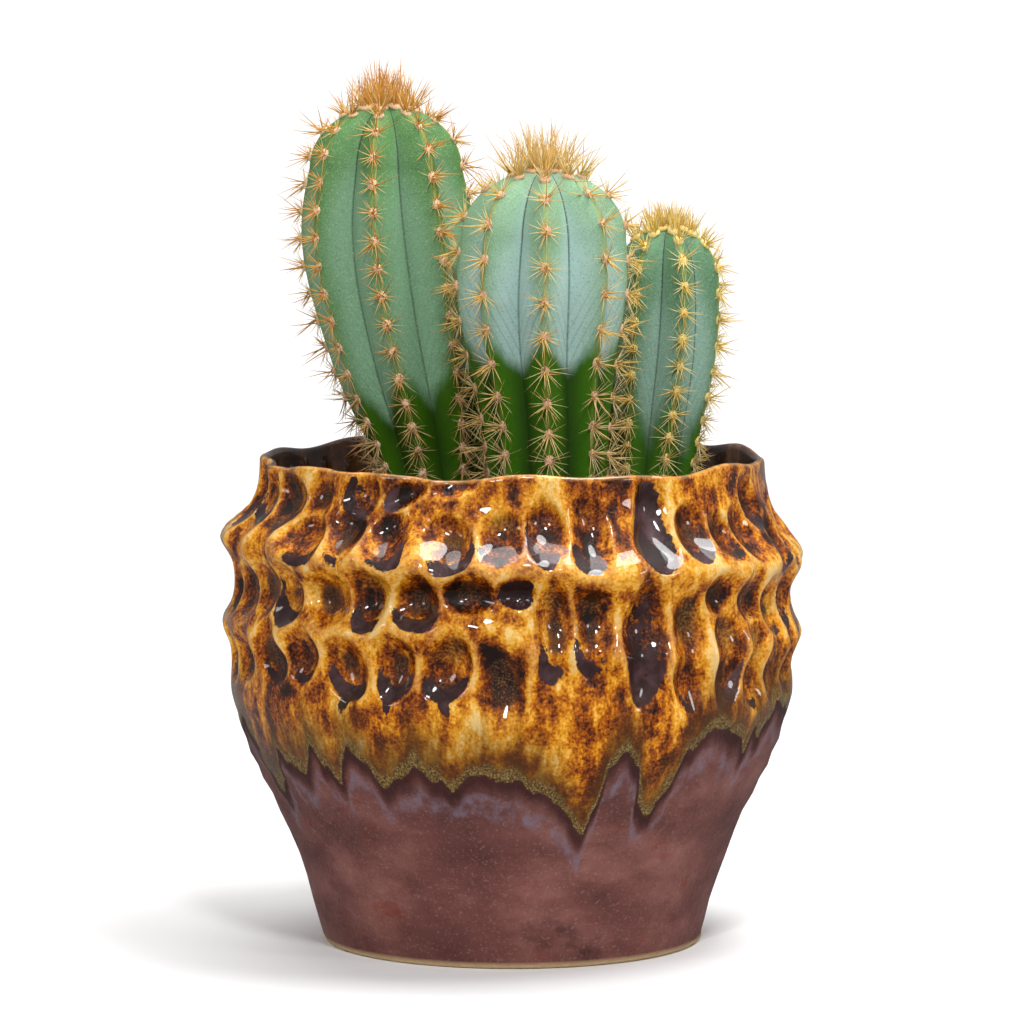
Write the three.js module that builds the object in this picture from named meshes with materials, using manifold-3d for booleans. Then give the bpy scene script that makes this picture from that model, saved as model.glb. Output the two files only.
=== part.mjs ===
// A blue torch cactus of three ribbed columns, growing in a nursery pot of soil that stands
// inside a thumb-pressed, glazed stoneware cover pot.
// Millimetres, +Z up. The origin is the centre of the cover pot's foot, on the surface that
// the pot stands on. The front, which shows all three columns, faces -Y.

import * as THREE from "three";
import { mergeVertices } from "three/addons/utils/BufferGeometryUtils.js";
import Module from "manifold-3d";

const wasm = await Module();
wasm.setup();

// ---------------------------------------------------------------- driving dimensions

const POT_HEIGHT = 188;
const RIM_WALL = 6;
const PRESSED_WALL = 8;
const POT_FLOOR = 8;
const FOOT_RADIUS = 73;
const FOOT_RECESS = { radius: 56, depth: 2.5 };

const PRESSES_PER_ROW = 36;
const PRESS_DEPTH = 5;
// Each row of thumb presses: its middle height, half its length, and its turn in half pitches.
const PRESS_ROWS = [
  { height: 169, halfLength: 13, turn: 0 },
  { height: 137, halfLength: 16, turn: 1 },
  { height: 106, halfLength: 14, turn: 0 },
];
// The wall is thicker from the lowest presses to just under the rim.
const PRESSED_BAND = { from: 89, to: 170 };
// The clay that stands proud between the rows: height, rise and spread of each ring.
const CLAY_RINGS = [
  { height: 153.5, rise: 6, spread: 5.5 },
  { height: 119, rise: 3.9, spread: 5 },
  { height: 98, rise: 1, spread: 5 },
];

const NURSERY_HEIGHT = 146;
const NURSERY_TOP_RADIUS = 82;
const NURSERY_BASE_RADIUS = 60;
const NURSERY_WALL = 1.4;
const NURSERY_LIP = { height: 8, reach: 2.5 };
const DRAIN_HOLES = { count: 8, radius: 5, circle: 42 };

const SOIL_BELOW_LIP = 9;
const TOUCH_GAP = 0.3;

const CROWN = { woolRadius: 7, woolHeight: 2.2, rings: [1, 7, 12], spineRadius: 0.55 };

const POT_SEGMENTS = PRESSES_PER_ROW * 4;
const SEGMENTS_PER_RIB = 6;
const ROUND_SEGMENTS = 48;

const NURSERY_LIP_TOP = POT_FLOOR + TOUCH_GAP + NURSERY_HEIGHT;
const SOIL_TOP = NURSERY_LIP_TOP - SOIL_BELOW_LIP;

// The three columns. heights are above the surface the pot stands on; radii are to the rib
// crests; leanX and leanY are where the column's middle is at each height. The first height
// is the buried end's, the last one is the shoulder's, and top is the growing tip's. turn is
// the angle in degrees, from +X towards +Y, of the crest that shows most from the front.
const COLUMNS = [
  {
    name: "tall_column",
    ribs: 8,
    turn: -98,
    heights: [124, 150, 182, 209, 235, 260, 281, 298],
    radii: [14, 16.5, 21, 28, 32, 34.5, 33.5, 30],
    leanX: [-28, -29, -31.5, -37, -42.5, -46.5, -48.5, -49],
    leanY: [15, 15, 16, 17, 18, 19, 19, 19],
    top: 322.5,
    crownSpine: 15,
  },
  {
    name: "middle_column",
    ribs: 8,
    turn: -88,
    heights: [124, 150, 188, 205, 229, 257, 273],
    radii: [16, 19.5, 23, 24.5, 28.5, 32.5, 31.5],
    leanX: [14.5, 14.5, 13.6, 13, 11.5, 11.5, 12],
    leanY: [-17, -18, -20, -21, -22, -23, -23],
    top: 299,
    crownSpine: 18,
  },
  {
    name: "short_column",
    ribs: 7,
    turn: -74,
    heights: [124, 150, 181, 208, 232, 255],
    radii: [12, 14, 16.8, 20, 21.5, 21],
    leanX: [50, 51.5, 54, 57, 59.5, 60.5],
    leanY: [14, 14, 15, 16, 16, 16],
    top: 275.5,
    crownSpine: 11,
  },
];

// ---------------------------------------------------------------- shared shape helpers

const smoothThrough = (places, values) => {
  const curve = new THREE.CubicInterpolant(places, values, 1);
  return (at) => curve.evaluate(at)[0];
};

const evenSteps = (from, to, count) =>
  Array.from({ length: count + 1 }, (_, i) => from + ((to - from) * i) / count);

// A profile of [radius, height] pairs, listed from the bottom up, turned about +Z.
function turned(profile, segments) {
  const points = profile.map(([radius, height]) => new THREE.Vector2(radius, height));
  return new THREE.LatheGeometry(points, segments).rotateX(Math.PI / 2);
}

// Moves every vertex of a geometry: place takes and returns { angle, radius, height }.
function reshape(geometry, place) {
  const position = geometry.getAttribute("position");
  for (let i = 0; i < position.count; i++) {
    const [x, y] = [position.getX(i), position.getY(i)];
    const at = { angle: Math.atan2(y, x), radius: Math.hypot(x, y), height: position.getZ(i) };
    const { angle, radius, height } = place(at);
    position.setXYZ(i, radius * Math.cos(angle), radius * Math.sin(angle), height);
  }
  return geometry;
}

function toSolid(geometry) {
  const bare = new THREE.BufferGeometry().setAttribute("position", geometry.getAttribute("position"));
  if (geometry.index) bare.setIndex(geometry.index);
  const merged = mergeVertices(bare, 1e-3);
  return new wasm.Manifold(
    new wasm.Mesh({
      numProp: 3,
      vertProperties: new Float32Array(merged.attributes.position.array),
      triVerts: new Uint32Array(merged.index.array),
    }),
  );
}

function toGeometry(solid) {
  const { vertProperties, triVerts } = solid.getMesh();
  const geometry = new THREE.BufferGeometry()
    .setAttribute("position", new THREE.BufferAttribute(vertProperties, 3))
    .setIndex(new THREE.BufferAttribute(triVerts, 1));
  geometry.computeVertexNormals();
  return geometry;
}

function named(name, geometry, material) {
  const mesh = new THREE.Mesh(geometry, material);
  mesh.name = name;
  return mesh;
}

// ---------------------------------------------------------------- cover pot

// The wall's outer radius before any clay is pushed in or left standing proud.
const plainRadius = smoothThrough(
  [0, 22, 53, 72, 90, 115, 140, 163, 176, POT_HEIGHT],
  [FOOT_RADIUS, 79, 91, 100.5, 106.5, 108.5, 107.5, 104.5, 98.9, 97.4],
);

const ringRise = (height) =>
  CLAY_RINGS.reduce(
    (sum, ring) => sum + ring.rise * Math.exp(-(((height - ring.height) / ring.spread) ** 2) / 2),
    0,
  );

// How far the thumb has pushed the wall in: a bowl with an oval outline for each press.
function pressedIn(angle, height) {
  const pitch = (2 * Math.PI) / PRESSES_PER_ROW;
  return PRESS_ROWS.reduce((deepest, row) => {
    const across = angle / pitch - row.turn / 2;
    const offCentre = 2 * (across - Math.round(across));
    const along = (height - row.height) / row.halfLength;
    const bowl = 1 - offCentre ** 2 - along ** 2;
    return Math.max(deepest, PRESS_DEPTH * bowl);
  }, 0);
}

function coverPot() {
  const lowerWall = evenSteps(0, 80, 4);
  const pressedWall = evenSteps(PRESSED_BAND.from, POT_HEIGHT, 19);
  const wall = [...lowerWall, ...pressedWall].map((height) => [
    plainRadius(height) + ringRise(height),
    height,
  ]);
  const outside = reshape(
    turned([[0, 0], ...wall, [0, POT_HEIGHT]], POT_SEGMENTS),
    ({ angle, radius, height }) => ({
      angle,
      height,
      radius: radius > 0 ? radius - pressedIn(angle, height) : 0,
    }),
  );
  const cavityWall = [POT_FLOOR, 35, 65, 95, 125, 150, 167, POT_HEIGHT + 1].map((height) => {
    const pressed = height > PRESSED_BAND.from && height < PRESSED_BAND.to;
    const wall = pressed ? PRESSED_WALL : RIM_WALL;
    return [plainRadius(Math.min(height, POT_HEIGHT)) - wall, height];
  });
  const cavity = turned([[0, POT_FLOOR], ...cavityWall, [0, POT_HEIGHT + 1]], ROUND_SEGMENTS);
  const recess = new THREE.CylinderGeometry(
    FOOT_RECESS.radius,
    FOOT_RECESS.radius,
    2 * FOOT_RECESS.depth,
    ROUND_SEGMENTS,
  ).rotateX(Math.PI / 2);
  return toGeometry(toSolid(outside).subtract(toSolid(cavity)).subtract(toSolid(recess)));
}

// ---------------------------------------------------------------- nursery pot and soil

const nurseryRadius = (height) => {
  const share = (height - POT_FLOOR) / NURSERY_HEIGHT;
  return NURSERY_BASE_RADIUS + (NURSERY_TOP_RADIUS - NURSERY_BASE_RADIUS) * share;
};

function nurseryPot() {
  const floor = POT_FLOOR + TOUCH_GAP;
  const lipFoot = NURSERY_LIP_TOP - NURSERY_LIP.height;
  const shell = turned(
    [
      [0, floor],
      [nurseryRadius(floor), floor],
      [nurseryRadius(lipFoot), lipFoot],
      [nurseryRadius(lipFoot) + NURSERY_LIP.reach, lipFoot + 1],
      [nurseryRadius(NURSERY_LIP_TOP) + NURSERY_LIP.reach, NURSERY_LIP_TOP],
      [nurseryRadius(NURSERY_LIP_TOP) - NURSERY_WALL, NURSERY_LIP_TOP],
      [nurseryRadius(lipFoot) - NURSERY_WALL, lipFoot],
      [nurseryRadius(floor) - NURSERY_WALL, floor + NURSERY_WALL],
      [0, floor + NURSERY_WALL],
    ],
    ROUND_SEGMENTS,
  );
  let pot = toSolid(shell);
  for (let i = 0; i < DRAIN_HOLES.count; i++) {
    const angle = (2 * Math.PI * i) / DRAIN_HOLES.count;
    const hole = new THREE.CylinderGeometry(DRAIN_HOLES.radius, DRAIN_HOLES.radius, 10, 12)
      .rotateX(Math.PI / 2)
      .translate(
        DRAIN_HOLES.circle * Math.cos(angle),
        DRAIN_HOLES.circle * Math.sin(angle),
        floor,
      );
    pot = pot.subtract(toSolid(hole));
  }
  return toGeometry(pot);
}

// The soil fills the nursery pot, and the columns' buried ends stand in it.
function pottingSoil(buriedEnds) {
  const clear = NURSERY_WALL + TOUCH_GAP;
  const floor = POT_FLOOR + clear + TOUCH_GAP;
  const edge = SOIL_TOP - 2;
  const fill = turned(
    [
      [0, floor],
      [nurseryRadius(floor) - clear - TOUCH_GAP, floor],
      [nurseryRadius(edge) - clear - TOUCH_GAP, edge],
      [60, SOIL_TOP - 0.5],
      [30, SOIL_TOP + 0.5],
      [0, SOIL_TOP],
    ],
    ROUND_SEGMENTS,
  );
  return toGeometry(buriedEnds.reduce((soil, end) => soil.subtract(end), toSolid(fill)));
}

// ---------------------------------------------------------------- cactus columns

// One column: a stack of star-shaped sections whose flat flanks fall from each rib's crest
// to the groove beside it, closing over a dome to a hollow at the growing tip. swell adds to
// the radius all over, for the pocket that the buried end stands in.
function column({ ribs, turn, heights, radii, leanX, leanY, top }, swell = 0) {
  const radiusAt = smoothThrough(heights, radii);
  const xAt = smoothThrough(heights, leanX);
  const yAt = smoothThrough(heights, leanY);
  const shoulder = heights.at(-1);
  const grooveShare = (height) => THREE.MathUtils.mapLinear(height, heights[0], top, 0.1, 0.24);

  const flanks = evenSteps(heights[0], shoulder, 11).map((h) => [radiusAt(h) + swell, h]);
  const dome = [30, 60].map((degrees) => {
    const bend = THREE.MathUtils.degToRad(degrees);
    return [radiusAt(shoulder) * Math.cos(bend), shoulder + (top - shoulder) * Math.sin(bend)];
  });
  const profile = [[0, heights[0] - swell], ...flanks, ...dome, [4, top], [0, top - 1.5]];

  const start = THREE.MathUtils.degToRad(turn);
  const geometry = reshape(turned(profile, ribs * SEGMENTS_PER_RIB), ({ angle, radius, height }) => {
    const across = (angle * ribs) / (2 * Math.PI);
    const fromCrest = 2 * Math.abs(across - Math.round(across));
    return { angle: angle + start, height, radius: radius * (1 - grooveShare(height) * fromCrest) };
  });
  const position = geometry.getAttribute("position");
  for (let i = 0; i < position.count; i++) {
    const height = Math.min(position.getZ(i), shoulder);
    position.setX(i, position.getX(i) + xAt(height));
    position.setY(i, position.getY(i) + yAt(height));
  }
  return geometry;
}

// The pocket in the soil for one column: its buried end, a touch wider and deeper.
function buriedEnd(shape) {
  return toSolid(column(shape, TOUCH_GAP));
}

// The tuft at a column's growing tip: a low cushion of wool with rings of straight spines,
// each ring leaning further out than the one inside it.
function crownTuft({ leanX, leanY, top, crownSpine }) {
  const floor = top + TOUCH_GAP;
  const { woolRadius, woolHeight, rings, spineRadius } = CROWN;
  let tuft = toSolid(
    turned(
      [
        [0, floor],
        [woolRadius, floor],
        [woolRadius * 0.6, floor + woolHeight],
        [0, floor + woolHeight],
      ],
      16,
    ),
  );
  rings.forEach((count, ring) => {
    const lean = ring * 0.42;
    const reach = (ring * woolRadius) / rings.length;
    const length = crownSpine * (1 - 0.12 * ring) + woolHeight / 2;
    for (let i = 0; i < count; i++) {
      const round = (2 * Math.PI * (i + ring / 2)) / count;
      const spine = new THREE.ConeGeometry(spineRadius, length, 4)
        .translate(0, length / 2, 0)
        .rotateX(Math.PI / 2)
        .rotateY(lean)
        .translate(reach, 0, floor + woolHeight * 0.35)
        .rotateZ(round);
      tuft = tuft.add(toSolid(spine));
    }
  });
  return toGeometry(tuft).translate(leanX.at(-1), leanY.at(-1), 0);
}

// ---------------------------------------------------------------- materials and assembly

const material = (color, roughness) =>
  new THREE.MeshStandardMaterial({ color, roughness, metalness: 0 });
const amberGlaze = material("#a8671b", 0.15);
const blackPlastic = material("#1b1a1a", 0.55);
const darkSoil = material("#33241a", 0.95);
const bluishSkin = material("#5f8f78", 0.6);
const goldenSpines = material("#c98f3c", 0.6);

const pottedCactus = new THREE.Group();
pottedCactus.add(
  named("cover_pot", coverPot(), amberGlaze),
  named("nursery_pot", nurseryPot(), blackPlastic),
  named("potting_soil", pottingSoil(COLUMNS.map(buriedEnd)), darkSoil),
);
for (const shape of COLUMNS) {
  pottedCactus.add(
    named(shape.name, column(shape), bluishSkin),
    named(`${shape.name}_crown`, crownTuft(shape), goldenSpines),
  );
}

export default pottedCactus;
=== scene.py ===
# A blue torch cactus of three ribbed columns, in a nursery pot of soil inside a thumb-pressed
# stoneware cover pot. Shapes are worked out in millimetres and stored in metres. Turns are
# measured round the pot from the front, which faces -Y, and grow towards +X.

import math

import bpy
import numpy as np
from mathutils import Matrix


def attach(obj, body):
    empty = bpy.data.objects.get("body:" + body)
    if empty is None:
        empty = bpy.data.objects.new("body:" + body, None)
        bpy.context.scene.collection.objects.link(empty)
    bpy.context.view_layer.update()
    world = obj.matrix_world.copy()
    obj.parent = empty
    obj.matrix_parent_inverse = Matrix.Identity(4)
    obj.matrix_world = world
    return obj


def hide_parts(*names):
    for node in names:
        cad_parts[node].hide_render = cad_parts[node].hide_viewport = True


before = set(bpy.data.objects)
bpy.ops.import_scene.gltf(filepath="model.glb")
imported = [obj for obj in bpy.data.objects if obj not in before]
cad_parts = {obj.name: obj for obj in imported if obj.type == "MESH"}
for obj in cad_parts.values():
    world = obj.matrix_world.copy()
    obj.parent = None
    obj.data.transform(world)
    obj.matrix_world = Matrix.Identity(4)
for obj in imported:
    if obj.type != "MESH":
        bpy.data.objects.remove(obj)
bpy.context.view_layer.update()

MM = 0.001

# ------------------------------------------------------------------ studio
# A white paper sweep under and behind the pot, kept out of the glaze's reflections. Round
# softboxes above, in front and on each side make the glints, and a broad one whitens the wall.

FLOOR_SIZE = 2.4
FLOOR_FRONT = -0.25
SWEEP_START = 1.6
SWEEP_RADIUS = 0.9
WALL_TOP = 4.0


def paper_sweep():
    """A flat floor, a quarter circle and an upright wall, as one profile carried along X."""
    bend = np.linspace(0, math.pi / 2, 24)
    curve = SWEEP_START + SWEEP_RADIUS * np.sin(bend)
    y = np.concatenate([[FLOOR_FRONT], curve, [SWEEP_START + SWEEP_RADIUS]])
    z = np.concatenate([[0.0], SWEEP_RADIUS * (1 - np.cos(bend)), [WALL_TOP]])
    left = np.stack([np.full_like(y, -FLOOR_SIZE / 2), y, z], axis=1)
    right = left + [FLOOR_SIZE, 0, 0]
    count = len(y)
    faces = [(i, count + i, count + i + 1, i + 1) for i in range(count - 1)]
    mesh = bpy.data.meshes.new("paper_sweep")
    mesh.from_pydata(np.concatenate([left, right]).tolist(), [], faces)
    mesh.shade_smooth()
    return bpy.data.objects.new("paper_sweep", mesh)


sweep = paper_sweep()
paper = bpy.data.materials.new("white_paper")
paper.use_nodes = True
paper_shader = paper.node_tree.nodes["Principled BSDF"]
paper_shader.inputs["Base Color"].default_value = (0.9, 0.9, 0.9, 1)
paper_shader.inputs["Roughness"].default_value = 0.9
paper_shader.inputs["Specular IOR Level"].default_value = 0.1
sweep.data.materials.append(paper)
sweep.visible_glossy = False
bpy.context.scene.collection.objects.link(sweep)


def aim(thing, target):
    """Turns a camera or a light so that it looks at the target."""
    direction = np.array(target) - np.array(thing.location)
    flat = math.hypot(direction[0], direction[1])
    thing.rotation_euler = (math.atan2(flat, -direction[2]), 0, math.atan2(-direction[0], direction[1]))


def softbox(name, place, target, size, watts):
    """A round area light of that diameter in metres, facing the target."""
    lamp = bpy.data.lights.new(name, "AREA")
    lamp.shape = "DISK"
    lamp.size = size
    lamp.energy = watts
    light = bpy.data.objects.new(name, lamp)
    light.location = place
    aim(light, target)
    bpy.context.scene.collection.objects.link(light)


softbox("overhead_softbox", (0.5, -0.1, 1.5), (0, 0, 0.1), 0.6, 13)
softbox("key_softbox", (0.15, -1.15, 1.25), (0, 0, 0.15), 0.26, 9.5)
softbox("right_softbox", (1.5, -1.0, 0.7), (0, 0, 0.15), 0.4, 5.5)
softbox("left_softbox", (-1.5, -0.9, 0.8), (0, 0, 0.15), 0.4, 3.6)
softbox("front_softbox", (-0.3, -1.6, 0.95), (0, 0, 0.12), 0.22, 6)
softbox("wall_softbox", (0, 0.9, 2.9), (0, 2.5, 0.9), 2.4, 70)

world = bpy.data.worlds.new("studio")
world.use_nodes = True
world.node_tree.nodes["Background"].inputs["Color"].default_value = (1, 1, 1, 1)
world.node_tree.nodes["Background"].inputs["Strength"].default_value = 0.2
bpy.context.scene.world = world
bpy.context.scene.view_settings.view_transform = "Standard"

lens = bpy.data.cameras.new("camera")
lens.lens = 194.5
lens.sensor_width = 36
camera = bpy.data.objects.new("camera", lens)
camera.location = (0, -2.13, 0.374)
aim(camera, (0, 0, 0.166))
bpy.context.scene.collection.objects.link(camera)
bpy.context.scene.camera = camera

# ------------------------------------------------------------------ cover pot
# Thrown stoneware, pressed in by a thumb in three rough rows while it was soft. A glossy
# amber glaze is poured over a satin iron-brown one, pools in the presses and runs down.

POT_HEIGHT = 188.0
FOOT_RADIUS = 73.0
FOOT_RECESS = 56.0
RECESS_DEPTH = 2.5
FLOOR_THICKNESS = 8.0
TURN_STEPS = 640
WALL_THICKNESS = 5.2
LIP_THICKNESS = 3.4
PRESSED_RADIUS = 106
CALM_BELOW, FULLY_PRESSED = 84, 92

# Each press that shows from the front: its turn in degrees and its height, half its width and
# half its length, its depth, the lean of its long side in degrees, how much violet glaze pools
# in it, how burnt its middle is, how far its top is dulled to olive, and on which side (-1 left,
# 1 right) the violet climbs.
FRONT_PRESSES = [
    (-78, 176, 9, 13, 4.5, 0, 0.7, 0.8, 0.2, -1), (-69, 175, 9, 12, 5, 0, 0.8, 0.9, 0.1, -1),
    (-58.5, 175, 9.5, 12, 5, 6, 0.7, 1.0, 0.2, 1), (-47.5, 179, 9, 9, 3.5, 0, 0.1, 0.9, 0.3, -1),
    (-35, 181, 7.5, 8.5, 4.5, -20, 1.7, 0.0, 0.0, -1), (-24, 181.5, 5.5, 10.5, 4.2, -65, 1.6, 0.0, 0.0, 0),
    (-12, 186, 5.5, 12, 3.8, -68, 0.1, 0.2, 0.0, 0),
    (-72, 159, 9, 10, 4.5, 0, 0.3, 0.5, 0.6, -1), (-60, 160, 9, 10, 4, 0, 0.1, 0.2, 0.9, -1),
    (-47, 163, 9.5, 10.5, 5.4, 0, 0.9, 0.3, 0.1, 1), (-36.5, 165, 8, 10.5, 5.6, 0, 0.6, 1.0, 0.1, -1),
    (-26, 164.5, 9, 10, 5.2, 0, 0.9, 0.4, 0.3, 1), (-13, 162.5, 10, 9.5, 5.8, 0, 1.1, 1.0, 0.1, 1),
    (-2, 166.5, 9.5, 9.5, 4.4, 0, 0.6, 0.2, 1.0, -1), (7, 167, 8, 13, 5.2, 0, 0.9, 0.3, 0.3, -1),
    (16, 167, 8.5, 13, 5.2, 0, 0.8, 0.4, 0.6, -1), (31, 171, 8, 18, 5.4, -3, 2.3, 0.0, 0.0, 0),
    (41.5, 166, 9, 9.5, 5.4, 0, 1.2, 0.9, 0.3, 0), (50.5, 163.5, 8, 10, 4.8, 25, 0.7, 0.5, 0.8, -1),
    (58, 163, 8, 11, 4.8, 20, 0.4, 0.6, 0.3, 1), (65, 173, 8, 10, 4.6, 20, 0.9, 0.4, 0.2, -1),
    (70.5, 157, 8, 11, 4.8, 10, 0.7, 0.8, 0.2, 1), (79, 161, 8, 15, 4.5, 0, 0.8, 0.5, 0.2, -1),
    (-78.5, 142, 8.5, 12, 4.8, 0, 0.6, 0.7, 0.3, -1), (-69, 141, 9, 12, 4.8, 0, 0.5, 0.6, 0.5, -1),
    (-60.5, 143, 9, 12, 5, 0, 0.4, 1.1, 0.3, -1), (-51.5, 141, 9, 12, 5, 0, 1.0, 0.7, 0.3, -1),
    (-39.5, 143, 8.5, 11, 5.2, 0, 0.3, 1.1, 0.4, 1), (-29.5, 142, 8.8, 11.5, 5.2, 0, 0.9, 0.5, 0.9, -1),
    (-19, 143.5, 9, 10.5, 5.4, 0, 1.0, 1.0, 0.2, 0), (-8, 146, 8.5, 9.5, 5.6, 0, 0.2, 1.2, 0.0, 0),
    (0.4, 146.5, 7.5, 6, 4.8, 0, 2.4, 0.0, 0.0, 0),
    (8.5, 131, 8.2, 19, 5.4, 0, 0.8, 0.9, 0.9, -1), (16, 132, 8, 18, 5.4, 0, 0.8, 0.8, 0.8, -1),
    (27.3, 128, 9, 23, 6, -3, 1.9, 0.2, 0.7, 0), (38, 121, 8.8, 23, 5.6, 0, 0.6, 0.6, 1.0, -1),
    (46, 143, 8, 8.5, 4.8, 0, 0.2, 1.1, 0.3, -1), (48.5, 117, 8, 19, 5.2, 0, 0.9, 0.6, 1.0, 1),
    (56.5, 141, 7.5, 11, 4.8, 25, 0.5, 0.8, 0.3, -1), (57.5, 114, 8, 17, 5, 0, 0.6, 0.6, 1.0, -1),
    (65.5, 134, 8, 13, 4.8, 20, 0.6, 0.8, 0.4, -1), (66.5, 110, 8, 14, 4.8, 0, 0.6, 0.7, 0.7, -1),
    (74.5, 137, 8, 13, 4.8, 10, 0.8, 0.7, 0.4, -1), (75, 112, 8, 14, 4.5, 0, 0.8, 0.6, 0.5, -1),
    (-79, 115, 8.5, 11, 4.6, 0, 0.6, 0.8, 0.3, -1), (-68.5, 117, 8.5, 10.5, 4.6, 0, 0.3, 1.0, 0.6, -1),
    (-56.5, 118, 9, 11.5, 5, 0, 0.6, 1.2, 0.1, -1), (-46.5, 119, 8.5, 11, 4.6, 0, 0.7, 0.6, 0.6, 0),
    (-35, 117.5, 8.8, 12, 5.4, 0, 1.1, 0.9, 0.2, 0), (-24, 119, 8.8, 12, 5.2, 0, 1.2, 1.0, 0.3, 0),
    (-13, 118.5, 9.5, 13, 5.8, 0, 1.25, 0.4, 1.0, 0), (-2, 113, 9.5, 18, 5, 0, 0.3, 1.4, 0.0, -1),
]
# The lower edge of the amber glaze: turn in degrees and height of the tips of its runs, the
# notches between them, and places on their flanks.
FRONT_RUNS = [
    (-76, 90), (-71, 84), (-68, 70), (-64, 62), (-61, 70), (-59, 80), (-55, 76), (-50, 73.5),
    (-47.5, 80), (-46, 86), (-43, 77), (-39.5, 72), (-37.5, 80), (-35.5, 87), (-32, 80), (-28, 71),
    (-24, 76), (-20, 80), (-16, 75), (-12, 72.5), (-8, 78), (0, 75.5), (8, 69.5), (12, 62),
    (16.5, 53), (18.5, 64), (20.5, 80), (24, 86.5), (27, 80), (29, 65), (32.5, 58.5), (35.5, 70),
    (39, 85), (46, 92), (52, 89), (55, 86), (57.5, 80), (60, 89), (62.5, 85), (65, 91), (69, 98), (74, 94),
]


def through(places, values):
    """A natural cubic spline through the given values, as a function of place."""
    x, y = np.array(places, float), np.array(values, float)
    count, gap = len(x), np.diff(x)
    slope = np.diff(y) / gap
    system, right = np.eye(count), np.zeros(count)
    for i in range(1, count - 1):
        system[i, i - 1 : i + 2] = gap[i - 1], 2 * (gap[i - 1] + gap[i]), gap[i]
        right[i] = 6 * (slope[i] - slope[i - 1])
    bend = np.linalg.solve(system, right)

    def curve(at):
        at = np.clip(at, x[0], x[-1])
        i = np.clip(np.searchsorted(x, at) - 1, 0, count - 2)
        before, after = (x[i + 1] - at) / gap[i], (at - x[i]) / gap[i]
        sag = (before**3 - before) * bend[i] + (after**3 - after) * bend[i + 1]
        return before * y[i] + after * y[i + 1] + sag * gap[i] ** 2 / 6

    return curve


def smooth_step(value, low, high):
    """0 below low, 1 above high, and 3t^2 - 2t^3 between them."""
    t = np.clip((value - low) / (high - low), 0, 1)
    return t * t * (3 - 2 * t)


def add_piece(name, vertices, faces, material, layers=(), smooth=True):
    """A mesh object from points in millimetres, with one number per vertex for each layer."""
    mesh = bpy.data.meshes.new(name)
    mesh.from_pydata((vertices * MM).tolist(), [], faces)
    for layer, values in dict(layers).items():
        kind = "FLOAT" if values.ndim == 1 else "FLOAT_VECTOR"
        stored = mesh.attributes.new(layer, kind, "POINT")
        stored.data.foreach_set("value" if values.ndim == 1 else "vector", values.ravel())
    if smooth:
        mesh.shade_smooth()
    mesh.materials.append(material)
    piece = bpy.data.objects.new(name, mesh)
    bpy.context.scene.collection.objects.link(piece)
    return piece


def round_skin(name, grid, material, layers):
    """A closed skin over a grid of (row, column) points. Its columns join up round the axis, and
    its first and last rows are single points at the poles."""
    rows, columns = grid.shape[:2]
    index = np.arange(rows * columns).reshape(rows, columns) - (columns - 1)
    index[0] = 0
    index[-1] = index[-2, -1] + 1
    beside = np.roll(index, -1, axis=1)
    lower, upper = slice(1, rows - 2), slice(2, rows - 1)
    walls = np.stack([index[lower], beside[lower], beside[upper], index[upper]], axis=-1)
    first = np.stack([index[0], beside[1], index[1]], axis=-1)
    last = np.stack([index[-2], beside[-2], index[-1]], axis=-1)
    faces = walls.reshape(-1, 4).tolist() + first.tolist() + last.tolist()

    def flat(values):
        return np.concatenate([values[:1, 0], values[1:-1].reshape(-1, *values.shape[2:]), values[-1:, 0]])

    flat_layers = {layer: flat(values) for layer, values in layers.items()}
    return add_piece(name, flat(grid), faces, material, flat_layers)


plain_radius = through(
    [0, 22, 53, 72, 90, 115, 140, 163, 176, POT_HEIGHT],
    [FOOT_RADIUS, 79, 91, 100.5, 106.5, 108.5, 107.5, 104.5, 98.9, 97.4],
)

chance = np.random.default_rng(7)


def back_presses():
    """Three rows of presses from turn 87 round the back to turn 273, with a hand's unevenness."""
    rows = [(167, 14, 8.8), (140, 13, 9.2), (113, 13, 9.0)]
    made = []
    for height, half_height, pitch in rows:
        for turn in np.arange(87, 273, pitch):
            made.append((
                turn + chance.normal(0, 0.8), height + chance.normal(0, 2), chance.uniform(7.5, 9.3),
                half_height + chance.normal(0, 1.4), chance.uniform(4.5, 5.5), chance.normal(0, 9),
                chance.uniform(0.2, 1.3), chance.uniform(0.2, 1.2), chance.uniform(0, 1),
                chance.choice([-1, 0, 1]),
            ))
    return made


def run_edge():
    """The amber glaze's lower edge as (turn in degrees, height), all round the pot."""
    behind, turn, down = [], 82.0, False
    while turn < 280:
        behind.append((turn, chance.uniform(60, 78) if down else chance.uniform(82, 94)))
        turn += chance.uniform(3.5, 9)
        down = not down
    points = sorted([((turn + 180) % 360 - 180, height) for turn, height in FRONT_RUNS + behind])
    turns, heights = np.array(points).T
    turns = np.concatenate([[turns[-1] - 360], turns, [turns[0] + 360]])
    heights = np.concatenate([heights[-1:], heights, heights[:1]])
    return turns, heights


PRESSES = FRONT_PRESSES + back_presses()
edge_turns, edge_heights = run_edge()


def run_height(turn):
    """Height of the amber glaze's edge: an S-curve between each tip and notch, with scallops of
    a few millimetres along it."""
    i = np.clip(np.searchsorted(edge_turns, turn) - 1, 0, len(edge_turns) - 2)
    share = smooth_step((turn - edge_turns[i]) / (edge_turns[i + 1] - edge_turns[i]), 0, 1)
    scallops = 0.9 * np.abs(np.sin(np.radians(turn * 41))) + 0.6 * np.sin(np.radians(turn * 67 + 50)) - 0.5
    return edge_heights[i] + share * (edge_heights[i + 1] - edge_heights[i]) + scallops


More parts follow.
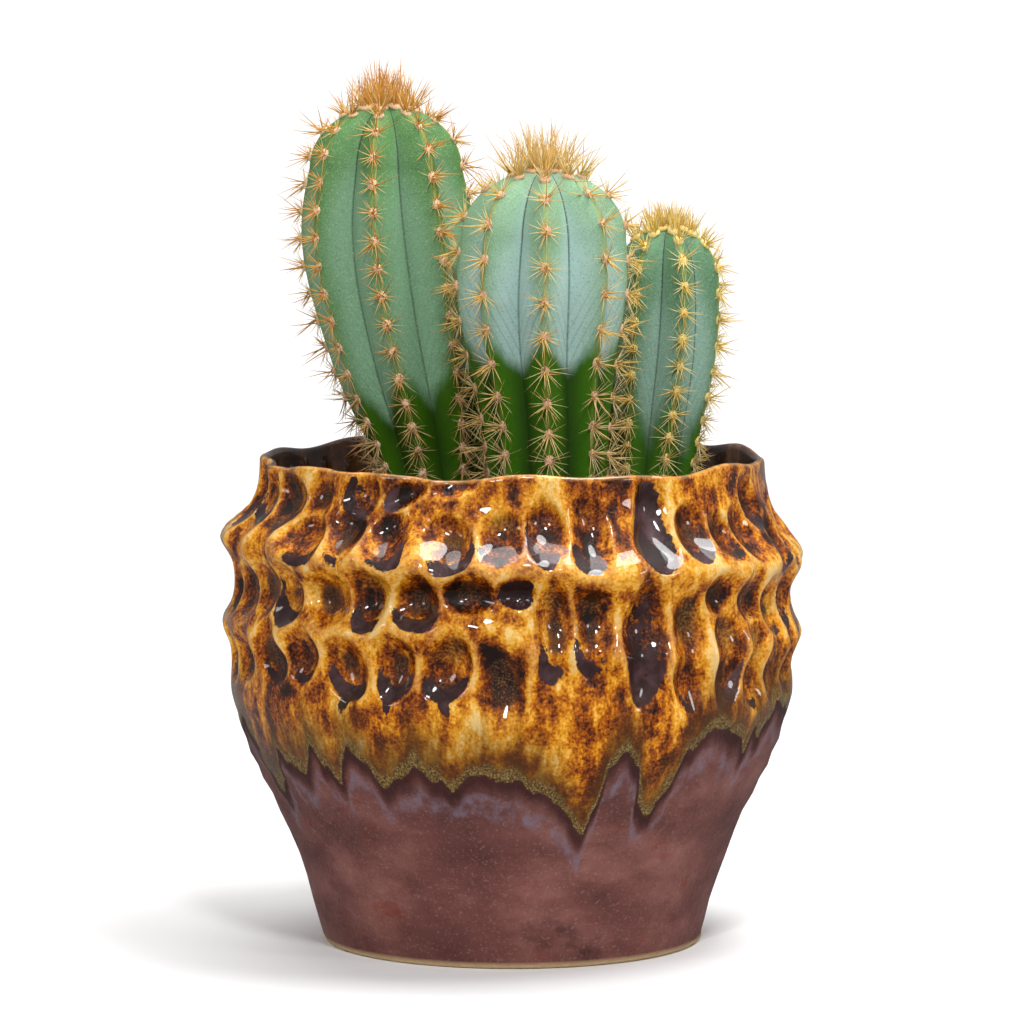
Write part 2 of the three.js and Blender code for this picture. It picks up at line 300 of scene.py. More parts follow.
def waver(turn, height, size, waves):
    """Smooth noise of about the given size: sines that run round and up the wall."""
    angle, total = np.radians(turn), np.zeros(np.shape(height))
    for _ in range(waves):
        around, along, phase = chance.integers(5, 24), chance.uniform(-0.22, 0.22), chance.uniform(0, 6.3)
        total = total + np.sin(around * angle + along * height + phase)
    return total * size / math.sqrt(waves)


def ring_rise(turn, height):
    """The clay left standing proud between the rows: three bell-shaped rings of uneven height."""
    side = np.sin(np.radians(turn))
    uneven = 1.1 * np.sin(np.radians(turn * 11 + 40)) + 0.8 * np.sin(np.radians(turn * 17))
    upper = 154.5 - 4.5 * side + uneven
    middle = 122 - 2.5 * side + 10 * np.exp(-(((turn + 17) / 26) ** 2)) - uneven
    return (
        (6.3 - 0.7 * side) * np.exp(-(((height - upper) / 5.5) ** 2) / 2)
        + 3.9 * np.exp(-(((height - middle) / 5) ** 2) / 2)
        + 1.0 * np.exp(-(((height - 98) / 5) ** 2) / 2)
    )


def press_fields(turn, height):
    """What the presses do at each point: how far the clay is pushed in, how far inside a press
    the point is (1 at its middle, 0 at its rim), how strongly violet glaze pools there, how
    burnt the glaze is at a press's heart, and how far it is dulled to olive. With u and v as
    shares of a press's half width and half length, a press is a bowl in q = u^2 + v^2, and its
    violet pool is a crescent round the bowl's foot that climbs one side."""
    pushed, inside = np.zeros_like(height), np.zeros_like(height)
    pool, heart, olive = np.zeros_like(height), np.zeros_like(height), np.zeros_like(height)
    for at, up, half_width, half_height, depth, lean, violet, burnt, dull, side in PRESSES:
        across = ((turn - at + 180) % 360 - 180) * math.pi / 180 * PRESSED_RADIUS
        rise = height - up
        tilt = math.radians(lean)
        u = (across * math.cos(tilt) + rise * math.sin(tilt)) / half_width
        v = (rise * math.cos(tilt) - across * math.sin(tilt)) / half_height
        q = u * u + v * v
        pushed += (depth * np.clip(1 - q / 1.3, 0, 1) ** 1.15) ** 6
        inside = np.maximum(inside, np.clip(1 - q, 0, 1))
        crescent = np.clip(1 - ((np.sqrt(q) - 0.82) / 0.32) ** 2, 0, 1)
        crescent = crescent * np.clip(0.28 - 0.85 * v + 0.35 * side * u, 0, 1.1) * min(violet, 1.15)
        climb = np.exp(-(((u - 0.82 * side) / 0.15) ** 2)) * np.clip(1.25 - np.abs(v), 0, 1)
        climb = climb * 0.7 * violet * abs(side)
        run = np.exp(-(((u + 0.1) / 0.24) ** 2)) * np.clip(1.1 - np.abs(v + 1.1) * 1.5, 0, 1)
        run = run * np.clip(violet - 0.5, 0, 0.8) * 1.5 * (up < 125)
        flooded = np.clip(1.25 - q, 0, 1) * np.clip(violet - 1.3, 0, 1)
        pool = np.maximum(pool, np.maximum(np.maximum(crescent, climb), np.maximum(run, flooded)))
        heart = np.maximum(heart, np.clip(1 - (u * u + (v + 0.05) ** 2) / 0.6, 0, 1) * burnt)
        olive = np.maximum(olive, np.clip(1 - q, 0, 1) ** 0.5 * np.clip(0.35 + 0.9 * v, 0, 1) * dull)
    return pushed ** (1 / 6), inside, pool, heart, olive


def blurred(values, reach):
    """A box average over the neighbours within reach, round the columns and along the rows."""
    total = sum(np.roll(values, k, axis=1) for k in range(-reach, reach + 1)) / (2 * reach + 1)
    padded = np.pad(total, ((reach, reach), (0, 0)), mode="edge")
    return sum(padded[k : k + len(values)] for k in range(2 * reach + 1)) / (2 * reach + 1)


def cover_pot_grid():
    """The pot's skin, from the middle of its underside out to the foot, up the pressed wall, over
    the rim and down inside to the middle of its floor. Radius is the plain curve, plus the
    rings, less the presses; the inner wall follows the outer one at the wall's thickness."""
    turn = np.linspace(-180, 180, TURN_STEPS, endpoint=False)
    rim = POT_HEIGHT + 0.9 * np.sin(np.radians(turn * 7 + 30)) + 0.7 * np.sin(np.radians(turn * 13 + 80))
    low_wall = np.array([1.2, 3, 8, 16, 25, 34, 43, 51, 58, 64, 69, 74, 79, 84, 87])
    share = np.linspace(0, 1, 98)
    wall = np.concatenate([
        np.repeat(low_wall[:, None], TURN_STEPS, axis=1),
        89 + share[:, None] * (rim[None, :] - 90.8),
    ])
    angle = np.broadcast_to(turn, wall.shape)
    sway_turn, sway_height = waver(angle, wall, 0.7, 7), waver(angle, wall, 1.2, 7)
    pushed, inside, pool, heart, olive = press_fields(angle + sway_turn, wall + sway_height)
    calm = smooth_step(wall, CALM_BELOW, FULLY_PRESSED)
    outer = plain_radius(wall) + calm * ring_rise(angle, wall) - calm * pushed
    outer = outer + 0.35 * np.sin(wall * 0.55 + 0.02 * angle) * (1 - calm)
    crest = outer - blurred(outer, 3)

    bead = np.linspace(0, math.pi, 8)[1:-1]
    rim_outer = outer[-1]
    rim_radius = rim_outer - LIP_THICKNESS / 2 + (LIP_THICKNESS / 2) * np.cos(bead)[:, None]
    rim_height = wall[-1] + (rim - wall[-1]) * np.sin(bead)[:, None]
    inner_heights = np.concatenate([
        rim[None, :] - 1.8 - np.linspace(0, 1, 20)[:, None] * (rim[None, :] - 112),
        np.repeat(np.array([80.0, 45.0, 14.0])[:, None], TURN_STEPS, axis=1),
    ])
    inner_angle = np.broadcast_to(turn, inner_heights.shape)
    inner_push = press_fields(inner_angle, inner_heights)[0]
    inner_calm = smooth_step(inner_heights, CALM_BELOW, FULLY_PRESSED)
    inner = plain_radius(inner_heights) - WALL_THICKNESS
    inner = inner + inner_calm * (0.6 * ring_rise(inner_angle, inner_heights) - 0.9 * inner_push)
    settle = smooth_step(inner_heights, 170, 186)
    inner = inner * (1 - settle) + (rim_outer - LIP_THICKNESS)[None, :] * settle

    rows = [(0.0, RECESS_DEPTH)]
    rows += [(radius, RECESS_DEPTH) for radius in (27.0, FOOT_RECESS - 2.5)]
    rows += [(FOOT_RECESS, 0.0), (FOOT_RADIUS - 1.5, 0.0), (FOOT_RADIUS - 0.5, 0.35)]
    wall_start = len(rows)
    rows += list(zip(outer, wall)) + list(zip(rim_radius, rim_height))
    inner_start = wall_start + len(outer) + len(rim_radius)
    rows += list(zip(inner, inner_heights))
    rows += [(plain_radius(12.0) - 12, FLOOR_THICKNESS), (35.0, FLOOR_THICKNESS), (0.0, FLOOR_THICKNESS)]
    radius, height = (np.array([np.broadcast_to(row[k], turn.shape) for row in rows]) for k in (0, 1))
    full_turn = np.broadcast_to(turn, radius.shape)
    across = np.radians(full_turn)
    grid = np.stack([radius * np.sin(across), -radius * np.cos(across), height], axis=-1)

    def on_wall(values):
        whole = np.zeros(radius.shape)
        whole[wall_start : wall_start + len(wall)] = values * calm
        return whole

    row = np.arange(len(rows))[:, None] + 0 * radius
    layers = {
        "inside_press": on_wall(inside),
        "pool": on_wall(pool),
        "heart": on_wall(heart),
        "olive": on_wall(olive),
        "crest": on_wall(crest),
        "above_edge": height - run_height(full_turn),
        "bare": (row <= wall_start).astype(float),
        "interior": (row >= inner_start - 3).astype(float),
        "lip_edge": np.clip(1 - np.abs(row - (wall_start + len(wall) + 1.0)) / 1.6, 0, 1),
    }
    return grid, layers


class Socket:
    """An output socket in a material. Arithmetic on it adds Math nodes, and node() any other."""

    def __init__(self, tree, link=None):
        self.tree = tree
        self.link = link

    def fill(self, node, inputs):
        """Links or sets the node's inputs. A colour may be given as three numbers."""
        for key, value in inputs.items():
            target = node.inputs[key]
            if isinstance(value, Socket):
                self.tree.links.new(value.link, target)
            elif target.type == "RGBA":
                target.default_value = (*value, 1)[:4]
            else:
                target.default_value = value

    def node(self, kind, settings=None, inputs=None, output=0):
        """Adds a node: its settings first, with a ramp's stops as (place, colour), then inputs."""
        made = self.tree.nodes.new(kind)
        for key, value in (settings or {}).items():
            if key == "stops":
                while len(made.color_ramp.elements) < len(value):
                    made.color_ramp.elements.new(1)
                for stop, (place, shade) in zip(made.color_ramp.elements, value):
                    stop.position = place
                    stop.color = (*shade, 1)[:4]
            else:
                setattr(made, key, value)
        self.fill(made, inputs or {})
        return Socket(self.tree, made.outputs[output])

    def math(self, operation, *values):
        return self.node("ShaderNodeMath", {"operation": operation}, dict(enumerate(values)))

    def __add__(self, other):
        return self.math("ADD", self, other)

    def __radd__(self, other):
        return self.math("ADD", other, self)

    def __sub__(self, other):
        return self.math("SUBTRACT", self, other)

    def __rsub__(self, other):
        return self.math("SUBTRACT", other, self)

    def __mul__(self, other):
        return self.math("MULTIPLY", self, other)

    def __rmul__(self, other):
        return self.math("MULTIPLY", other, self)

    def between(self, low, high):
        """0 where this is below low, 1 above high, and smooth between them."""
        span = {"Value": self, "From Min": low, "From Max": high}
        settings = {"interpolation_type": "SMOOTHSTEP"}
        return self.node("ShaderNodeMapRange", settings, span)


def shade(code):
    """A linear colour from a six-figure display colour code."""
    parts = np.array([int(code[k : k + 2], 16) for k in (1, 3, 5)]) / 255
    return tuple(np.where(parts <= 0.04045, parts / 12.92, ((parts + 0.055) / 1.055) ** 2.4).tolist())


def new_material(name):
    """An empty material: itself, a Socket to build from, and its shader node."""
    made = bpy.data.materials.new(name)
    made.use_nodes = True
    return made, Socket(made.node_tree), made.node_tree.nodes["Principled BSDF"]


def layer_value(start, name):
    return start.node("ShaderNodeAttribute", {"attribute_name": name}, output="Fac")


def mottle(start, where, scale, detail=4.0, stretch=None, roughness=0.55):
    """Cloudy noise from 0 to 1, with stretch as scale factors along X, Y and Z."""
    if stretch:
        where = start.node("ShaderNodeMapping", {}, {"Vector": where, "Scale": stretch})
    sizes = {"Vector": where, "Scale": scale, "Detail": detail, "Roughness": roughness}
    return start.node("ShaderNodeTexNoise", {}, sizes)


def mix(start, under, over, share):
    """The colour under, covered by the colour over where share is 1."""
    return start.node("ShaderNodeMix", {"data_type": "RGBA"}, {0: share, 6: under, 7: over}, output=2)


def ramp(start, value, stops):
    return start.node("ShaderNodeValToRGB", {"stops": stops}, {"Fac": value})


def bump(start, height, distance, strength=1.0, under=None):
    inputs = {"Height": height, "Distance": distance, "Strength": strength}
    if under is not None:
        inputs["Normal"] = under
    return start.node("ShaderNodeBump", {}, inputs)


def stoneware_glazes():
    """Amber glaze with pools and crystals over iron-brown, by the layers that the pot carries."""
    made, start, shader = new_material("glazed_stoneware")
    where = start.node("ShaderNodeTexCoord", output="Object")
    inside = layer_value(start, "inside_press")
    pool = layer_value(start, "pool")
    heart = layer_value(start, "heart")
    olive = layer_value(start, "olive")
    crest = layer_value(start, "crest")
    above = layer_value(start, "above_edge")
    bare = layer_value(start, "bare")
    interior = layer_value(start, "interior")
    lip_edge = layer_value(start, "lip_edge")

    cloud = mottle(start, where, 38, 4)
    streak = mottle(start, where, 150, 5, (1, 1, 0.12), 0.6)
    blotch = mottle(start, where, 130, 6, (1, 1, 0.7), 0.65)
    ragged = mottle(start, where, 300, 6, None, 0.7)
    grain = mottle(start, where, 900, 3)
    speck = mottle(start, where, 1500, 2, None, 0.6)

    amber_share = 0.4 + (cloud - 0.5) * 1.2 + (streak - 0.5) * 1.1 + (blotch - 0.5) * 1.6
    amber_share = amber_share + (grain - 0.5) * 0.8 - inside * 0.08 + crest * 0.25
    amber = ramp(start, amber_share, [
        (0.0, shade("#1c0800")), (0.2, shade("#5e2400")), (0.36, shade("#a85200")),
        (0.52, shade("#dc8a0a")), (0.7, shade("#f8b434")), (0.9, shade("#ffd88a")),
    ])
    dulled = (olive + (blotch - 0.5) * 0.9).between(0.3, 0.85) * 0.7
    smoke = ramp(start, grain, [(0.35, shade("#432a0c")), (0.5, shade("#66461a")), (0.65, shade("#8c6a34"))])
    amber = mix(start, amber, smoke, dulled)
    thin = (crest - 0.35 + (streak - 0.5) * 0.7).between(0, 0.5)
    amber = mix(start, amber, shade("#dca868"), thin * 0.3)

    crystals = ramp(start, speck, [
        (0.0, shade("#100401")), (0.5, shade("#1d0902")), (0.6, shade("#6b4420")), (1.0, shade("#a9854c")),
    ])
    burnt = mix(start, shade("#692e08"), crystals, (heart + (ragged - 0.5) * 1.6).between(0.6, 0.85))
    hearted = (heart + (ragged - 0.5) * 1.3 + (blotch - 0.5) * 1.2).between(0.5, 0.8)
    glaze = mix(start, amber, burnt, hearted * 0.88)

    # Violet glaze pools in the presses: its dark purple-brown is the glaze's own colour, and its lighter
    # lilac-grey patches are a painted sheen.
    painted_sheen = mottle(start, where, 85, 3)
    pooled_violet_and_sheen = ramp(start, painted_sheen, [(0.3, shade("#200e0e")), (0.5, shade("#3a2020")), (0.72, shade("#5e4348"))])
    pooling = (pool + (ragged - 0.5) * 0.9 + (blotch - 0.5) * 0.9).between(0.5, 0.56)
    glaze = mix(start, glaze, pooled_violet_and_sheen, pooling)

    fading = 1 - (above + (streak - 0.5) * 30).between(3, 30)
    glaze = mix(start, glaze, shade("#502d0c"), fading * 0.9)
    border = 1 - (above + (streak - 0.5) * 12 + (ragged - 0.5) * 6).between(2, 6.5)
    khaki = ramp(start, speck, [(0.35, shade("#3c2a13")), (0.5, shade("#6a5127")), (0.66, shade("#a28c54"))])
    glaze = mix(start, glaze, khaki, border * 0.9)

    iron_share = mottle(start, where, 30, 6, (1, 1, 1.6), 0.6)
    iron = ramp(start, iron_share, [
        (0.25, shade("#4e2c29")), (0.5, shade("#72443e")), (0.75, shade("#94625a")),
    ])
    rust = mottle(start, where, 26, 6, (1, 1, 1.9), 0.7)
    iron = mix(start, iron, shade("#7c2c18"), rust.between(0.58, 0.74) * 0.65)
    smudge = mottle(start, where, 38, 4, (1, 1, 1.2))
    iron = mix(start, iron, shade("#241412"), smudge.between(0.62, 0.76) * 0.6)
    iron = mix(start, iron, shade("#9a7a76"), (grain - 0.5).between(0.04, 0.25) * 0.5)
    wet = (above + (streak - 0.5) * 8).between(-10, -2)
    iron = mix(start, iron, shade("#37191a"), wet * 0.85)
    vein = mottle(start, where, 150, 6, (1, 1, 0.5), 0.75)
    halo_place = above + (vein - 0.5) * 16 + (cloud - 0.5) * 14
    halo = halo_place.between(-17, -11) * (1 - halo_place.between(-10, -6.5))
    iron = mix(start, iron, shade("#7a6c7a"), halo * (vein - 0.2).between(0.15, 0.45) * 0.75)

    covered = (above + (ragged - 0.5) * 6).between(-0.35, 0.35)
    finish = mix(start, iron, glaze, covered)
    # Inside the pot the glaze colour is replaced by painted shade, near black, with lighter streaks of noise
    # painted as light on its folds.
    lit_folds = mottle(start, where, 60, 5, (1, 1, 0.4))
    painted_inside_shade = ramp(start, lit_folds, [
        (0.3, shade("#150804")), (0.55, shade("#4a2a16")), (0.8, shade("#8c6b52")),
    ])
    finish = mix(start, finish, painted_inside_shade, interior)
    finish = mix(start, finish, shade("#d9a860"), lip_edge * 0.5)
    clay = mix(start, shade("#d9bf98"), shade("#b9996c"), grain)
    finish = mix(start, finish, clay, bare)

    glossy = covered * (1 - bare)
    satin = 0.42 - (iron_share - 0.5) * 0.3
    rough_heart = hearted * 0.2
    waves = bump(start, blotch + ragged * 0.6, 0.0018, 0.8)
    skin = bump(start, grain + speck * 0.6, 0.00012, 0.5, waves)
    start.fill(shader, {
        "Base Color": finish,
        "Roughness": glossy * (0.14 + border * 0.25 + rough_heart - satin) + satin + bare * 0.4,
        "Coat Weight": glossy * (1 - border * 0.7),
        "Normal": skin,
    })
    shader.inputs["Coat Roughness"].default_value = 0.03
    shader.inputs["Coat IOR"].default_value = 1.42
    shader.inputs["Specular IOR Level"].default_value = 0.2
    return made


pot_grid, pot_layers = cover_pot_grid()
cover_pot = round_skin("glazed_cover_pot", pot_grid, stoneware_glazes(), pot_layers)
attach(cover_pot, "root")
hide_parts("cover_pot")

# ------------------------------------------------------------------ nursery pot
# The thin black plastic pot that the plant was grown in, with a rolled lip. It stands on the
# cover pot's floor.

black, start, shader = new_material("black_plastic")
where = start.node("ShaderNodeTexCoord", output="Object")
scuff = mottle(start, where, 60, 6, (1, 1, 3))
fine = mottle(start, where, 1400, 2)
start.fill(shader, {
    "Base Color": mix(start, shade("#161616"), shade("#3a3632"), scuff.between(0.55, 0.8) * 0.5),
    "Roughness": 0.42 + scuff * 0.25,
    "Normal": bump(start, fine, 0.0001, 0.4),
})
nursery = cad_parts["nursery_pot"]
nursery.data.materials.clear()
nursery.data.materials.append(black)

# ------------------------------------------------------------------ potting soil
# Damp dark peat and bark crumbs, which the three columns are rooted in.

SOIL_RADIUS = 79.0
SOIL_TOP = 145.3


def soil_grid():
    """A low mound: height falls by 2 mm to the edge, and crumbs stand on it as smoothed noise."""
    turn = np.linspace(0, 2 * math.pi, 200, endpoint=False)
    reach = np.concatenate([[0.0], np.linspace(1.5, SOIL_RADIUS, 60)])
    noise = blurred(chance.normal(0, 1, (len(reach), len(turn))), 1) * 3
    height = SOIL_TOP - 2 * (reach[:, None] / SOIL_RADIUS) ** 2 + noise * 0.9
    height[0] = SOIL_TOP
    across = reach[:, None] * np.cos(turn)
    along = reach[:, None] * np.sin(turn)
    top = np.stack([across, along, height], axis=-1)[::-1]
    shrink = [(1.0, 60.0), (0.0, 60.0)]
    under = [np.stack([across[-1] * k, along[-1] * k, np.full_like(turn, z)], axis=-1) for k, z in shrink]
    return np.concatenate([under[::-1], top])


soil_paint, start, shader = new_material("potting_soil")
where = start.node("ShaderNodeTexCoord", output="Object")
crumb = mottle(start, where, 350, 6, None, 0.7)
peat = ramp(start, crumb, [(0.3, shade("#120b07")), (0.55, shade("#3a281b")), (0.8, shade("#6f5338"))])
start.fill(shader, {
    "Base Color": peat,
    "Roughness": 0.9,
    "Normal": bump(start, crumb, 0.0015, 0.8),
})
soil_points = soil_grid()
soil = round_skin("potting_soil_top", soil_points, soil_paint, {})
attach(soil, "root")
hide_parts("potting_soil")

# ------------------------------------------------------------------ cactus columns
# Three upright stems of one kind. The flesh is ribbed, and a blue-white bloom of wax covers it
# except near the soil, where it has worn off and the green shows.

COLUMNS = [
    {
        "name": "tall", "ribs": 8, "turn": -8,
        "heights": [124, 150, 182, 209, 235, 260, 281, 298],
        "radii": [14, 16.5, 21, 28, 32, 34.5, 33.5, 30],
        "lean_x": [-28, -29, -31.5, -37, -42.5, -46.5, -48.5, -49],
        "lean_y": [15, 15, 16, 17, 18, 19, 19, 19],
        "top": 322.5, "pad_spacing": (8.6, 10.8), "bloom_end": 208, "bloom_tilt": 9, "bloom_fade": 6,
        "bloom": "#7fa986", "flesh": "#5a8a4e", "low": "#3c6a04",
        "fan_length": 6.8, "stout_length": 11, "crown_length": 17.5,
        "pale_spine": "#f6cf84", "spine": "#e4a23c", "spine_tip": "#9c5a1e", "felt": "#f6d2a8",
    },
    {
        "name": "middle", "ribs": 8, "turn": 1.5,
        "heights": [124, 150, 188, 205, 229, 257, 273],
        "radii": [16, 19.5, 23, 24.5, 28.5, 32.5, 31.5],
        "lean_x": [14.5, 14.5, 13.6, 13, 11.5, 11.5, 12],
        "lean_y": [-17, -18, -20, -21, -22, -23, -23],
        "top": 299.0, "pad_spacing": (8.8, 13.4), "bloom_end": 223, "bloom_tilt": 0, "bloom_fade": 5,
        "bloom": "#accdc6", "flesh": "#88b08c", "low": "#3f7403",
        "fan_length": 8.8, "stout_length": 12, "crown_length": 20,
        "pale_spine": "#fbe2a0", "spine": "#ecc060", "spine_tip": "#a86e28", "felt": "#e8bc94",
    },
    {
        "name": "short", "ribs": 7, "turn": 16,
        "heights": [124, 150, 181, 208, 232, 255],
        "radii": [12, 14, 16.8, 20, 21.5, 21],
        "lean_x": [50, 51.5, 54, 57, 59.5, 60.5],
        "lean_y": [14, 14, 15, 16, 16, 16],
        "top": 275.5, "pad_spacing": (7.8, 10.2), "bloom_end": 197, "bloom_tilt": -4, "bloom_fade": 14,
        "bloom": "#8aac9c", "flesh": "#5f8a66", "low": "#3d7010",
        "fan_length": 7.4, "stout_length": 9.5, "crown_length": 11,
        "pale_spine": "#fdeca6", "spine": "#e8c050", "spine_tip": "#b27e28", "felt": "#f6dc88",
    },
]
STEPS_PER_RIB = 26


class Column:
    """One stem: crest radius and lean as splines of height, closed by a dome at the shoulder."""

    def __init__(self, shape):
        self.shape = shape
        self.bottom, self.shoulder, self.top = shape["heights"][0], shape["heights"][-1], shape["top"]
        self.radius = through(shape["heights"], shape["radii"])
        self.lean = [through(shape["heights"], shape[key]) for key in ("lean_x", "lean_y")]

    def crest(self, travel):
        """Radius and height of a rib's crest. travel runs from 0 at the bottom to 1 at the
        shoulder, then to 2 over a quarter-ellipse dome to the growing tip."""
        climb = np.clip(travel, 0, 1)
        bend = np.clip(travel - 1, 0, 1) * math.pi / 2
        height = self.bottom + climb * (self.shoulder - self.bottom)
        radius = self.radius(height) * np.cos(bend)
        return radius, height + (self.top - self.shoulder) * np.sin(bend)

    def middle(self, height):
        """Where the stem's middle is at each height."""
        return tuple(curve(np.minimum(height, self.shoulder)) for curve in self.lean)

    def groove_depth(self, height):
        """Share of the radius by which a groove is sunk, 0.12 + 0.14 s + 0.12 s^6 at share s of the
        stem's height: 0.12 in the soil and 0.38 at the growing tip."""
        share = (height - self.bottom) / (self.top - self.bottom)
        return 0.12 + 0.14 * share + 0.12 * share**6

    def grid(self):
        """The stem's skin. Across a rib, radius falls from a rounded crest along a nearly flat
        flank to a sharp groove, by s = sqrt(t^2 + c) for t from 0 at the crest to 1."""
        travel = np.concatenate([np.linspace(0, 1, 120), 1 + np.linspace(0, 1, 34)[1:]])
        radius, height = self.crest(travel[:, None])
        ribs = self.shape["ribs"]
        count = ribs * STEPS_PER_RIB
        place = np.arange(count) / STEPS_PER_RIB
        off_crest = 2 * np.abs(place - np.round(place))[None, :]
        rounding = 0.035
        fall = (np.sqrt(off_crest**2 + rounding) - math.sqrt(rounding)) / (
            math.sqrt(1 + rounding) - math.sqrt(rounding))
        radius = radius * (1 - self.groove_depth(height) * fall)
        turn = np.radians(self.shape["turn"]) + place[None, :] * 2 * math.pi / ribs
        x, y = self.middle(height)
        grid = np.stack([
            x + radius * np.sin(turn), y - radius * np.cos(turn), height + 0 * turn,
        ], axis=-1)
        base = np.stack([x[:1] + 0 * turn, y[:1] + 0 * turn, height[:1] + 0 * turn], axis=-1)
        fallen = np.broadcast_to(off_crest, grid.shape[:2])
        levels = np.broadcast_to(height, grid.shape[:2])
        tilt = self.shape["bloom_tilt"] * np.sin(turn)
        edge = self.shape["bloom_end"] + tilt + 13 * (1 - fallen)
        young = smooth_step(levels, self.top - 55, self.top)
        layers = {"groove": fallen, "above_bloom": levels - edge, "young": young}
        whole = {name: np.concatenate([values[:1], values]) for name, values in layers.items()}
        return np.concatenate([base, grid]), whole


def cactus_skin(shape):
    """Waxy bloom over green flesh, thin dark lines of painted shade in the grooves and fine pale stomata."""
    made, start, shader = new_material(f"{shape['name']}_skin")
    where = start.node("ShaderNodeTexCoord", output="Object")
    groove = layer_value(start, "groove")
    above = layer_value(start, "above_bloom")
    young = layer_value(start, "young")
    cloud = mottle(start, where, 35, 4, (1, 1, 0.5))
    fine = mottle(start, where, 1500, 3, None, 0.7)
    worn = mottle(start, where, 140, 5, (1, 1, 0.35))

    waxed = (groove * 0.8 + cloud * 1.1 - young * 0.7).between(0.3, 1.15)
    flesh = mix(start, shade(shape["flesh"]), shade(shape["bloom"]), waxed)
    # Below the bloom the flesh is darker green in the grooves, which is painted shade, and in random cloudy
    # patches, which is its own tone.
    low = mix(start, shade(shape["low"]), shade("#254706"), (groove * 0.6 + cloud * 0.6).between(0.35, 1.0))
    fade = shape["bloom_fade"]
    bloomed = (above + (worn - 0.5) * 2 * fade).between(-fade, fade)
    skin = mix(start, low, flesh, bloomed)
    veins = above * 0.9 + groove * 14
    feather = veins.math("SINE", veins)
    feathered = feather.between(0.6, 1.0) * bloomed * (1 - above.between(10, 40)) * 0.3
    skin = mix(start, skin, shade("#5f8468"), feathered)
    skin = mix(start, skin, shade("#a3ac3c"), (1 - groove).between(0.82, 1.0) * (0.25 + 0.3 * young))
    # Painted shade: a thin dark line at the bottom of each groove, stronger towards the growing tip where
    # the grooves are deepest.
    skin = mix(start, skin, shade("#16300f"), groove.between(0.93, 0.99) * (0.55 + 0.4 * young))
    skin = mix(start, skin, shade("#1c3a14"), (0.5 - fine).between(0.02, 0.22) * 0.4)
    skin = mix(start, skin, shade("#d5e6cc"), (fine - 0.5).between(0.03, 0.25) * bloomed * 0.4)
    start.fill(shader, {
        "Base Color": skin,
        "Roughness": 0.42 + bloomed * 0.16,
        "Normal": bump(start, fine + worn * 0.6, 0.00015, 0.6),
    })
    shader.inputs["Specular IOR Level"].default_value = 0.3
    shader.inputs["Subsurface Weight"].default_value = 0.06
    shader.inputs["Subsurface Radius"].default_value = (0.004, 0.006, 0.002)
    return made


columns = {shape["name"]: Column(shape) for shape in COLUMNS}
for shape in COLUMNS:
    grid, layers = columns[shape["name"]].grid()
    stem = round_skin(f"{shape['name']}_stem", grid, cactus_skin(shape), layers)
    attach(stem, "root")
    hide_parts(f"{shape['name']}_column")

# ------------------------------------------------------------------ felt pads and spines
# A pad of wool sits on each rib every centimetre or so, and grows a fan of thin spines and a
# few stout ones. The youngest, at the growing tip, stand up as a tuft.

FAN_SPINES = 15
STOUT_SPINES = 7
SPINE_SIDES = 3
SPINE_RINGS = np.array([0.0, 0.35, 0.7])
PAD_SIDES = 8
PAD_RINGS = np.array([-0.5, 0.25, 0.95])


def lengths(vectors):
    return np.linalg.norm(vectors, axis=-1, keepdims=True)


def pad_places(column):
    """Every pad on a stem, as arrays: its place, the way out of the skin, the way up its rib, how
    young it is (1 at the tip) and its share of the stem's height. Along a rib, pads are counted
    from the tip as the running sum of step / spacing, and one sits at each whole count."""
    shape = column.shape
    ribs = shape["ribs"]
    travel = np.linspace(0.15, 1.97, 900)
    radius, height = column.crest(travel)
    x, y = column.middle(height)
    turn = np.radians(shape["turn"]) + np.arange(ribs) * 2 * math.pi / ribs
    out = np.stack([np.sin(turn), -np.cos(turn), 0 * turn], axis=-1)
    path = np.stack([x, y, height], axis=-1) + radius[None, :, None] * out[:, None, :]
    up = np.gradient(path, axis=1)
    up = up / lengths(up)
    side = np.stack([-out[:, 1], out[:, 0], out[:, 2]], axis=-1)[:, None, :]
    normal = np.cross(side, up)
    normal = normal * np.sign((normal * (out[:, None, :] + [0, 0, 0.3])).sum(-1, keepdims=True))
    step = lengths(np.diff(path, axis=1))[..., 0]
    gone = np.concatenate([np.cumsum(step[:, ::-1], axis=1)[:, ::-1], np.zeros((ribs, 1))], axis=1)
    near, far = shape["pad_spacing"]
    spacing = near + (far - near) * smooth_step(height, 165, 235)
    spacing = spacing * (0.45 + 0.55 * smooth_step(gone, 2, 22))
    count = np.concatenate([
        np.cumsum((step / spacing[:, 1:])[:, ::-1], axis=1)[:, ::-1], np.zeros((ribs, 1)),
    ], axis=1)
    count = count + chance.uniform(0.1, 0.9, (ribs, 1))
    rib, at = np.nonzero(np.diff(np.floor(count), axis=1))
    young = 1 - smooth_step(gone, 4, 24)
    rise = (height - 150) / (column.top - 150)
    return path[rib, at], normal[rib, at], up[rib, at], young[rib, at], rise[at]


